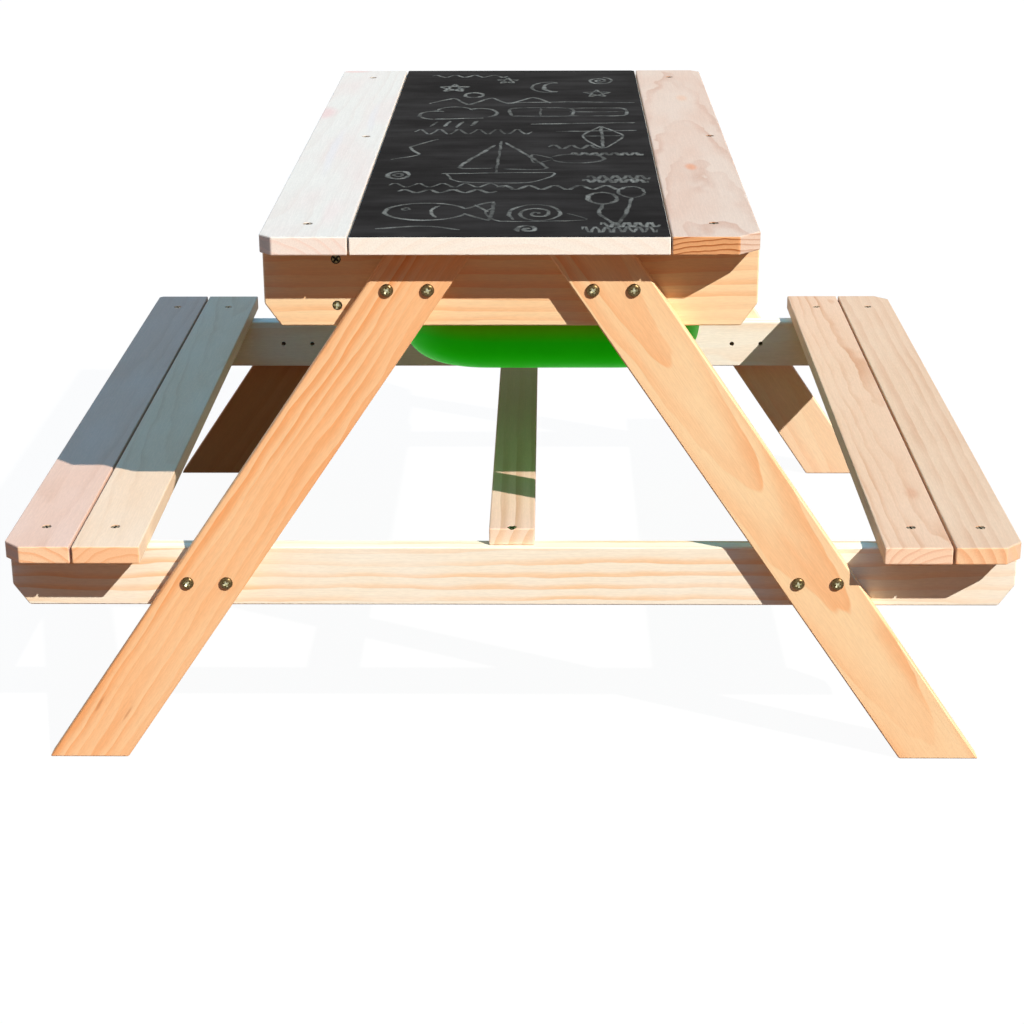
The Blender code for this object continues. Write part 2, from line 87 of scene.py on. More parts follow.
# Wood: sizes of its clouds of colour and bends of grain, across, through and along. Real fibres
# and flecks are ten times finer: they are drawn as coarse as they need to be to show
BEND_MM = (38, 38, 150)
WAVER_MM = (13, 13, 32)
FADE_MM = (30, 30, 260)
DRIFT_MM = (45, 45, 150)
FIBRE_MM = (1.3, 1.3, 42)
FLECK_MM = (1.1, 1.1, 7)
SHIFT_MM = 900
NOISE_MIDDLE = (0.5, 0.5, 0.5)
FADE_SHARES = (0.38, 0.62)
LEAST_FIGURE_SHARE = 0.3
DRIFT_SHARES = (0.42, 0.68)
FIBRE_SHARES = (0.1, 0.42)
FIBRE_SHADES = (0.93, 1.03)
GRAIN_RELIEF = 0.00012
LATE_RELIEF_SHARE = 0.25

# A ring is darkest at its edge. Its tones at the end of the early wood and halfway to the edge
EARLY_TONE = 0.12
HALFWAY_TONE = 0.75
RING_EDGE_SHARE = 0.95

# Spots reach right through a board, and are full up to this share of their size
SPOT_DEPTH_MM = 400
SPOT_CORE_SHARE = 0.25

# How squarely a face has to cross the grain to look like a corner cut or a sawn end, and how much
# of the rings' dark a corner cut shows
CLIP_FACING_SHARES = (0.5, 0.62)
END_FACING_SHARES = (0.76, 0.86)
CLIP_LATE_SHARE = 0.5

# Board paint: clouds of chalk dust, and the broad streaks that a wiping hand leaves
PAINT_LINE_Z = 0.4954
DUST_MM = 110
WIPE_MM = (90, 20, 1000)
DUST_SHARES = (0.16, 0.42)
MOST_DUST_SHARE = 0.58

# Plating, and the grime and painted shade in and round screw heads
PLATING_PATCH_MM = 1.4
PLATING_RELIEF = 0.00004
WORN_SHARES = (0.35, 0.65)
UNEVEN_ROUGHNESS = 0.08
GRIME_PATCH_MM = 1.1
GRIME_RELIEF = 0.00005

# Green plastic: its skin, its flow, an olive band of painted shade on it and a painted glow
ORANGE_PEEL_MM = 2.2
ORANGE_PEEL_RELIEF = 0.00006
FLOW_MM = 140
FLOW_SHARES = (0.3, 0.7)
OLIVE_SHADE_BAND_Z = 0.405
OLIVE_SHADE_BAND_H = 0.025
PAINTED_GLOW_Z = (0.352, 0.4)
PAINTED_GLOW_STRENGTH = 0.135

# Screws
SCREW_SIDES = 28
LEG_SCREW_HEAD_R = 0.0057
LEG_SCREW_HEAD_H = 0.0034
LEG_SCREW_RIM_H = 0.0010
LEG_SCREW_SHANK_R = 0.0025
LEG_SCREW_TIP_H = 0.0050
DOME_STEPS = 7
DOME_FOOT_SHARE = 0.96
DOME_FOOT_H = 0.0003
PLANK_SCREW_HEAD_R = 0.0042
PLANK_SCREW_HEAD_H = 0.0030
PLANK_SCREW_SHANK_R = 0.0022
PLANK_SCREW_TIP_H = 0.0066
FLAT_RIM_LOW = 0.0005
FLAT_RIM_HIGH = 0.0002
SHADOW_RIM_SHARE = 0.78
TIP_SHARE = 0.15
CROWN_SHARE = 0.05
RECESS_SPAN = 0.0062
RECESS_ARM_W = 0.0018
RECESS_DEPTH = 0.0022
RECESS_OVERCUT = 0.001
RECESS_FLOOR_SHARE = 0.45
SCREW_SHARP_EDGE = math.radians(35)
CLEAT_SCREW_OUT = 0.040
CLEAT_SCREW_LENGTH = 0.026
CLEAT_SCREW_PROUD = 0.0004

# Sand tub
TUB_LEFT = -0.114
TUB_RIGHT = 0.186
TUB_END = 0.361
TUB_RIM_T = 0.004
TUB_RIM_EDGE_R = 0.0015
TUB_RIM_CORNER_R = 0.030
TUB_CORNER_R = 0.092
TUB_BOTTOM_R = 0.020
TUB_WALL_T = 0.003
TUB_DRAFT = math.radians(8)
TUB_CORNER_SEGMENTS = 20
TUB_BOTTOM_SEGMENTS = 8
TUB_SHARP_EDGE = math.radians(40)

# Chalk: the widths of its strokes, how hard they press, and how they break up. The tooth of real
# board paint is ten times finer: it is drawn as coarse as it needs to be to show
CHALK_W_MM = (3.4, 6)
CHALK_W_SHARES = (0.75, 1.2)
CHALK_END_SHARE = 0.55
CHALK_FULL_SHARE = 0.45
CHALK_EDGE_SHARE = 0.5
CHALK_FORCE_SHARES = (0.45, 1)
CHALK_PRESS_SHARES = (0.5, 1.2)
CHALK_THICK_MM = 0.06
CHALK_LAYER_SHARE = 0.01
CHALK_WOBBLE_MM = 0.7
CHALK_STEP_MM = 7
CHALK_SOFT_SHARE = 0.3
TOOTH_MM = 1.6
TOOTH_SHARES = (0.36, 0.6)
TOOTH_FILLED_SHARE = 0.45
CHALK_GAP_MM = 18
GAP_SHARES = (0.36, 0.62)
GAP_FILLED_SHARE = 0.35

# Chalk drawings: steps of a curve, and how much longer than wide a round one is
ARC_STEP_DEGREES = 15
ARC_LEAST_STEPS = 6
RIPPLE_STEPS = 6
SPIRAL_STEPS = 14
LONG_SHARE = 1.6

hand = random.Random(11)


def linear(text):
    """Linear RGBA of an sRGB hex colour."""
    parts = [int(text[start:start + 2], 16) / 255 for start in (1, 3, 5)]
    return [c / 12.92 if c <= 0.04045 else ((c + 0.055) / 1.055) ** 2.4 for c in parts] + [1]


def add(tree, kind, inputs=None, out=0, stops=(), **settings):
    """Adds a shader node and gives one of its outputs. An input is a socket to join or a value."""
    node = tree.nodes.new("ShaderNode" + kind)
    for name, value in settings.items():
        setattr(node, name, value)
    for name, value in (inputs or {}).items():
        if isinstance(value, bpy.types.NodeSocket):
            tree.links.new(value, node.inputs[name])
        else:
            node.inputs[name].default_value = value
    for number, (place, shade) in enumerate(stops):
        points = node.color_ramp.elements
        point = points[number] if number < 2 else points.new(place)
        point.position = place
        point.color = linear(shade) if isinstance(shade, str) else (shade, shade, shade, 1)
    return node.outputs[out] if node.outputs else None


def new_finish(name):
    """An empty material, and a function that adds nodes to it."""
    made = bpy.data.materials.new(name)
    made.use_nodes = True
    made.node_tree.nodes.clear()
    return made, functools.partial(add, made.node_tree)


def seen_share(put):
    """1 for a ray that shows the background: straight to the camera, in gloss or through glass."""
    share = put("LightPath", out="Is Camera Ray")
    for ray in ("Is Glossy Ray", "Is Transmission Ray"):
        share = put("Math", {0: share, 1: put("LightPath", out=ray)}, operation="MAXIMUM")
    return share


def board_paint(put):
    """Matt black board paint: a near black that wiped chalk dust clouds with grey."""
    where = put("TexCoord", out="Object")
    dust = put("TexNoise", {"Vector": where, "Scale": 1 / (DUST_MM * MM), "Detail": 4,
                            "Roughness": 0.6}, out="Fac")
    wiped = put("Mapping", {"Vector": where, "Scale": Vector(WIPE_MM) * MM},
                vector_type="TEXTURE")
    streak = put("TexNoise", {"Vector": wiped, "Scale": 1, "Detail": 3}, out="Fac")
    both = put("Math", {0: dust, 1: streak}, operation="MULTIPLY")
    amount = put("MapRange", {"Value": both, "From Min": DUST_SHARES[0],
                              "From Max": DUST_SHARES[1], "To Max": MOST_DUST_SHARE})
    return put("Mix", {0: amount, 6: linear("#161515"), 7: linear("#393736")}, 2, data_type="RGBA")


def grain_clouds(put, grain, seed):
    """Soft random clouds stretched along the grain, by what each of them is used for."""
    clouds = {}
    for use, size, detail in (("bend", BEND_MM, 2), ("waver", WAVER_MM, 1), ("fade", FADE_MM, 1),
                              ("drift", DRIFT_MM, 2), ("fibre", FIBRE_MM, 3),
                              ("fleck", FLECK_MM, 1)):
        stretched = put("Mapping", {
            "Vector": grain, "Location": (0, 0, seed * SHIFT_MM), "Scale": size,
        }, vector_type="TEXTURE")
        clouds[use] = put("TexNoise", {"Vector": stretched, "Scale": 1, "Detail": detail},
                          out="Color" if use in ("bend", "waver") else "Fac")
    return clouds


def late_wood(put, bent, ring, heart, lean, late_share):
    """Dark late wood of the rings round the tree's heart, which lies at a lean to the board."""
    round_heart = put("Mapping", {
        "Vector": bent, "Location": (heart[0], heart[1], 0), "Rotation": (lean[1], lean[0], 0),
        "Scale": (ring, ring, ring),
    }, vector_type="TEXTURE")
    across = put("VectorMath", {0: round_heart, 1: (1, 1, 0)}, operation="MULTIPLY")
    rings = put("VectorMath", {0: across}, "Value", operation="LENGTH")
    phase = put("Math", {0: rings}, operation="FRACT")
    return put("ValToRGB", {"Fac": phase}, stops=(
        (0, 0), (late_share, EARLY_TONE), ((1 + late_share) / 2, HALFWAY_TONE),
        (RING_EDGE_SHARE, 1), (1, 0)))


def spotted(put, colour, bent, spots):
    """Pitch or pink wood over a colour, and on the stretcher a patch of painted shade, each fading
    out at the edge of its oval spot.
    """
    for across_mm, along_mm, wide, long, hue, share in spots:
        near = put("Mapping", {
            "Vector": bent, "Location": (across_mm, 0, along_mm),
            "Scale": (wide, SPOT_DEPTH_MM, long),
        }, vector_type="TEXTURE")
        gap = put("VectorMath", {0: near}, "Value", operation="LENGTH")
        inside = put("MapRange", {"Value": gap, "From Min": SPOT_CORE_SHARE, "To Min": share,
                                  "To Max": 0}, interpolation_type="SMOOTHSTEP")
        colour = put("Mix", {0: inside, 6: colour, 7: linear(hue)}, 2, data_type="RGBA")
    return colour


def cut_ends(put, colour, late, turn, pale, ends):
    """The pale corner cuts and the sawn ends over a colour, both with the rings edge on."""
    grain_way = Euler(turn).to_matrix() @ Vector((0, 0, 1))
    facing = put("VectorMath", {0: put("TexCoord", out="Normal"), 1: grain_way}, "Value",
                 operation="DOT_PRODUCT")
    level = put("Math", {0: facing}, operation="ABSOLUTE")
    clip = put("MapRange", {"Value": level, "From Min": CLIP_FACING_SHARES[0],
                            "From Max": CLIP_FACING_SHARES[1]})
    sawn = put("Math", {0: late, 1: CLIP_LATE_SHARE}, operation="MULTIPLY")
    clip_colour = put("Mix", {0: sawn, 6: linear(pale), 7: linear(ends[1])}, 2, data_type="RGBA")
    colour = put("Mix", {0: clip, 6: colour, 7: clip_colour}, 2, data_type="RGBA")
    end = put("MapRange", {"Value": level, "From Min": END_FACING_SHARES[0],
                           "From Max": END_FACING_SHARES[1]})
    end_colour = put("Mix", {0: late, 6: linear(ends[0]), 7: linear(ends[1])}, 2, data_type="RGBA")
    return put("Mix", {0: end, 6: colour, 7: end_colour}, 2, data_type="RGBA")


def planed_wood(board, turn, wood, pale, figure, tint, ends, ring, heart, lean, wave, waver,
                late_share, figure_share, tint_share, seed, spots=(), painted=False):
    """Planed bare softwood: the rings, cut along the board, show as wavy darker lines and arches
    of late wood over fine fibres. The rings' width and waves are in mm, and so are places, from
    the board's middle. ends holds the two colours of the sawn ends, and a spot is (across, along,
    half width, half length, colour, share)."""
    low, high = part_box(board)
    made, put = new_finish(wood + "_" + board)
    where = put("TexCoord", out="Object")
    grain = put("Mapping", {
        "Vector": where, "Location": (low + high) / 2, "Rotation": turn, "Scale": (MM, MM, MM),
    }, vector_type="TEXTURE")
    clouds = grain_clouds(put, grain, seed)
    bent = grain
    for use, reach in (("bend", wave), ("waver", waver)):
        swing = put("VectorMath", {0: clouds[use], 1: NOISE_MIDDLE}, operation="SUBTRACT")
        bent = put("VectorMath", {0: swing, 1: (reach, reach, 0), 2: bent},
                   operation="MULTIPLY_ADD")
    late = late_wood(put, bent, ring, heart, lean, late_share)

    # Figure, tint, spots and ends
    fade = put("MapRange", {"Value": clouds["fade"], "From Min": FADE_SHARES[0],
                            "From Max": FADE_SHARES[1], "To Min": LEAST_FIGURE_SHARE})
    shown = put("Math", {0: late, 1: fade}, operation="MULTIPLY")
    amount = put("Math", {0: shown, 1: figure_share}, operation="MULTIPLY")
    colour = put("Mix", {0: amount, 6: linear(pale), 7: linear(figure)}, 2, data_type="RGBA")
    drift = put("MapRange", {"Value": clouds["drift"], "From Min": DRIFT_SHARES[0],
                             "From Max": DRIFT_SHARES[1], "To Max": tint_share})
    colour = put("Mix", {0: drift, 6: colour, 7: linear(tint)}, 2, data_type="RGBA")
    colour = spotted(put, colour, bent, spots)
    colour = cut_ends(put, colour, late, turn, pale, ends)

    # Fibres, then paint above the paint's edge
    fibre = put("Math", {0: clouds["fibre"], 1: clouds["fleck"]}, operation="MULTIPLY")
    shade = put("MapRange", {"Value": fibre, "From Min": FIBRE_SHARES[0],
                             "From Max": FIBRE_SHARES[1], "To Min": FIBRE_SHADES[0],
                             "To Max": FIBRE_SHADES[1]})
    colour = put("VectorMath", {0: colour, "Scale": shade}, operation="SCALE")
    if painted:
        height = put("SeparateXYZ", {0: where}, "Z")
        over = put("Math", {0: height, 1: PAINT_LINE_Z}, operation="GREATER_THAN")
        colour = put("Mix", {0: over, 6: colour, 7: board_paint(put)}, 2, data_type="RGBA")
    relief = put("Math", {0: late, 1: LATE_RELIEF_SHARE, 2: clouds["fibre"]},
                 operation="MULTIPLY_ADD")
    bump = put("Bump", {"Height": relief, "Distance": GRAIN_RELIEF, "Strength": 0.6})
    shader = put("BsdfPrincipled", {
        "Base Color": colour, "Normal": bump, "Roughness": 0.75 if painted else 0.6,
        "Specular IOR Level": 0.02 if painted else 0.2,
    })
    put("OutputMaterial", {"Surface": shader})
    return made


def plated_steel(name, dark, light, rough):
    """Plated steel: dull metal, browner or greyer in patches where the plating is thin."""
    made, put = new_finish(name)
    where = put("TexCoord", out="Object")
    patch = put("TexNoise", {"Vector": where, "Scale": 1 / (PLATING_PATCH_MM * MM), "Detail": 3},
                out="Fac")
    worn = put("MapRange", {"Value": patch, "From Min": WORN_SHARES[0],
                            "From Max": WORN_SHARES[1]})
    colour = put("Mix", {0: worn, 6: linear(dark), 7: linear(light)}, 2, data_type="RGBA")
    uneven = put("MapRange", {"Value": patch, "To Min": rough - UNEVEN_ROUGHNESS,
                              "To Max": rough + UNEVEN_ROUGHNESS})
    bump = put("Bump", {"Height": patch, "Distance": PLATING_RELIEF, "Strength": 0.4})
    shader = put("BsdfPrincipled", {
        "Base Color": colour, "Metallic": 1, "Roughness": uneven, "Normal": bump,
    })
    put("OutputMaterial", {"Surface": shader})
    return made


def dark_shade_and_grime(name):
    """Painted shade with some oily dirt, in a screw's recess and round its head: nearly black,
    dull, a little uneven.
    """
    made, put = new_finish(name)
    where = put("TexCoord", out="Object")
    patch = put("TexNoise", {"Vector": where, "Scale": 1 / (GRIME_PATCH_MM * MM), "Detail": 2},
                out="Fac")
    colour = put("Mix", {0: patch, 6: linear("#14110D"), 7: linear("#322C24")}, 2,
                 data_type="RGBA")
    bump = put("Bump", {"Height": patch, "Distance": GRIME_RELIEF, "Strength": 0.5})
    shader = put("BsdfPrincipled", {
        "Base Color": colour, "Roughness": 0.8, "Normal": bump, "Specular IOR Level": 0.2,
    })
    put("OutputMaterial", {"Surface": shader})
    return made


def moulded_plastic(name):
    """Moulded polypropylene: clear green, satin, with a faint orange-peel skin. An olive band at
    the rails' lower edges is painted shade: it stands in for the rails' shade and the warm light
    off the wood. An emission glow that grows towards the bottom is painted light: it stands in for
    the light off the ground that its thin wall lets through."""
    made, put = new_finish(name)
    where = put("TexCoord", out="Object")
    peel = put("TexNoise", {"Vector": where, "Scale": 1 / (ORANGE_PEEL_MM * MM), "Detail": 2},
               out="Fac")
    flow = put("TexNoise", {"Vector": where, "Scale": 1 / (FLOW_MM * MM), "Detail": 2}, out="Fac")
    amount = put("MapRange", {"Value": flow, "From Min": FLOW_SHARES[0],
                              "From Max": FLOW_SHARES[1]})
    clear = put("Mix", {0: amount, 6: linear("#20F40E"), 7: linear("#2CFF14")}, 2,
                data_type="RGBA")
    height = put("SeparateXYZ", {"Vector": where}, "Z")
    # Painted shade: an olive band round the height of the rails' lower edges, where their shade
    # falls
    above = put("Math", {0: height, 1: OLIVE_SHADE_BAND_Z}, operation="SUBTRACT")
    off_band = put("Math", {0: above}, operation="ABSOLUTE")
    olive_shade = put("MapRange", {"Value": off_band, "From Min": OLIVE_SHADE_BAND_H, "From Max": 0})
    colour = put("Mix", {0: olive_shade, 6: clear, 7: linear("#8ECC08")}, 2, data_type="RGBA")
    # Painted light: the wall glows green, more strongly towards its bottom, though it is no lamp
    glow = put("MapRange", {"Value": height, "From Min": PAINTED_GLOW_Z[1], "From Max": PAINTED_GLOW_Z[0],
                            "To Max": PAINTED_GLOW_STRENGTH})
    bump = put("Bump", {"Height": peel, "Distance": ORANGE_PEEL_RELIEF, "Strength": 0.5})
    shader = put("BsdfPrincipled", {
        "Base Color": colour, "Roughness": 0.5, "Normal": bump, "Specular IOR Level": 0.4,
        "Specular Tint": linear("#20FF08"), "Emission Color": linear("#00FF00"),
        "Emission Strength": glow,
    })
    put("OutputMaterial", {"Surface": shader})
    return made


def chalk_on_paint():
    """Chalk on board paint: grey-white where the stick pressed, broken by the paint's tooth."""
    made, put = new_finish("chalk_on_board_paint")
    where = put("TexCoord", out="Object")
    press = put("Attribute", out="Fac", attribute_name="press")
    tooth = put("TexNoise", {"Vector": where, "Scale": 1 / (TOOTH_MM * MM), "Detail": 3},
                out="Fac")
    gaps = put("TexNoise", {"Vector": where, "Scale": 1 / (CHALK_GAP_MM * MM), "Detail": 2},
               out="Fac")
    kept = put("MapRange", {"Value": tooth, "From Min": TOOTH_SHARES[0],
                            "From Max": TOOTH_SHARES[1], "To Min": TOOTH_FILLED_SHARE})
    laid = put("MapRange", {"Value": gaps, "From Min": GAP_SHARES[0],
                            "From Max": GAP_SHARES[1], "To Min": GAP_FILLED_SHARE})
    grip = put("Math", {0: kept, 1: laid}, operation="MULTIPLY")
    amount = put("Math", {0: grip, 1: press}, operation="MULTIPLY", use_clamp=True)
    colour = put("Mix", {0: amount, 6: board_paint(put), 7: linear("#99988F")}, 2,
                 data_type="RGBA")
    shader = put("BsdfPrincipled", {
        "Base Color": colour, "Roughness": 0.85, "Specular IOR Level": 0.02,
    })
    put("OutputMaterial", {"Surface": shader})
    return made


def mesh_object(name, form, material, smooth_up_to=None):
    """A scene object of a bmesh, smooth over edges flatter than an angle."""
    bmesh.ops.recalc_face_normals(form, faces=form.faces)
    mesh = bpy.data.meshes.new(name)
    form.to_mesh(mesh)
    form.free()
    if smooth_up_to:
        mesh.shade_smooth()
        mesh.set_sharp_from_angle(angle=smooth_up_to)
    mesh.materials.append(material)
    made = bpy.data.objects.new(name, mesh)
    bpy.context.scene.collection.objects.link(made)
    return made


def join(form, rows):
    """Joins closed rows of points with faces, and fills the first and the last row."""
    for row, after in zip(rows, rows[1:]):
        for here in range(len(row)):
            there = (here + 1) % len(row)
            form.faces.new((row[here], row[there], after[there], after[here]))
    form.faces.new(rows[0])
    form.faces.new(rows[-1])


def skin(form, rings):
    """A closed form through rings of places."""
    join(form, [[form.verts.new(place) for place in ring] for ring in rings])


def turned(profile):
    """Rings of a turned form from its outline of (radius, height)."""
    turns = [2 * math.pi * side / SCREW_SIDES for side in range(SCREW_SIDES)]
    return [[(radius * math.cos(turn), radius * math.sin(turn), height) for turn in turns]
            for radius, height in profile]


# Camera
looks = Vector((math.sin(CAMERA_YAW) * math.cos(CAMERA_DOWN),
                math.cos(CAMERA_YAW) * math.cos(CAMERA_DOWN), -math.sin(CAMERA_DOWN)))
level_right = Vector((math.cos(CAMERA_YAW), -math.sin(CAMERA_YAW), 0))
level_up = level_right.cross(looks)
camera_right = level_right * math.cos(CAMERA_ROLL) + level_up * math.sin(CAMERA_ROLL)
camera_up = level_up * math.cos(CAMERA_ROLL) - level_right * math.sin(CAMERA_ROLL)
camera_data = bpy.data.cameras.new("camera")
camera_data.lens = CAMERA_LENS_MM
camera_data.sensor_width = CAMERA_SENSOR_MM
camera = bpy.data.objects.new("camera", camera_data)
camera.matrix_world = Matrix.Translation(CAMERA_PLACE) @ Matrix(
    (camera_right, camera_up, -looks)).transposed().to_4x4()
bpy.context.scene.collection.objects.link(camera)
bpy.context.scene.camera = camera
bpy.context.scene.view_settings.view_transform = "Standard"

# Lamp, fill and floor
key_data = bpy.data.lights.new("key_lamp", "SUN")
key_data.energy = KEY_STRENGTH
key_data.angle = KEY_SPREAD
key_data.color = linear(KEY_COLOUR)[:3]
key = bpy.data.objects.new("key_lamp", key_data)
key.rotation_euler = Vector(KEY_FROM).to_track_quat("Z", "Y").to_euler()
bpy.context.scene.collection.objects.link(key)

world = bpy.data.worlds.new("soft_fill")
world.use_nodes = True
world.node_tree.nodes.clear()
bpy.context.scene.world = world
put_sky = functools.partial(add, world.node_tree)
heading = put_sky("TexCoord", out="Generated")
rise = put_sky("SeparateXYZ", {0: heading}, "Z")
fill = put_sky("ValToRGB", {"Fac": rise}, stops=FILL_COLOURS)
behind = put_sky("VectorMath", {0: heading, 1: BEHIND}, "Value", operation="DOT_PRODUCT")
behind = put_sky("MapRange", {"Value": behind, "From Min": BEHIND_SHARES[0],
                              "From Max": BEHIND_SHARES[1]})
fill = put_sky("Mix", {0: behind, 6: fill, 7: linear(FILL_BEHIND)}, 2, data_type="RGBA")
fill = put_sky("VectorMath", {0: fill, "Scale": FILL_STRENGTH}, operation="SCALE")
shown_sky = put_sky("Mix", {0: seen_share(put_sky), 6: fill, 7: linear(WHITE)}, 2,
                    data_type="RGBA")
put_sky("OutputWorld", {"Surface": put_sky("Background", {"Color": shown_sky})})

floor_finish, put = new_finish("pale_floor")
glow = put("Emission", {"Color": linear(WHITE), "Strength": 1})
matt = put("BsdfDiffuse", {"Color": linear(WHITE)})
white_floor = put("MixShader", {0: FLOOR_SHADOW_SHARE, 1: glow, 2: matt})
bounce = put("BsdfDiffuse", {"Color": linear(FLOOR_BOUNCE)})
shown_floor = put("MixShader", {0: seen_share(put), 1: bounce, 2: white_floor})
put("OutputMaterial", {"Surface": shown_floor})
form = bmesh.new()
form.faces.new([form.verts.new((x * FLOOR_HALF, y * FLOOR_HALF, 0))
                for x, y in ((-1, -1), (1, -1), (1, 1), (-1, 1))])
floor = mesh_object("floor", form, floor_finish)

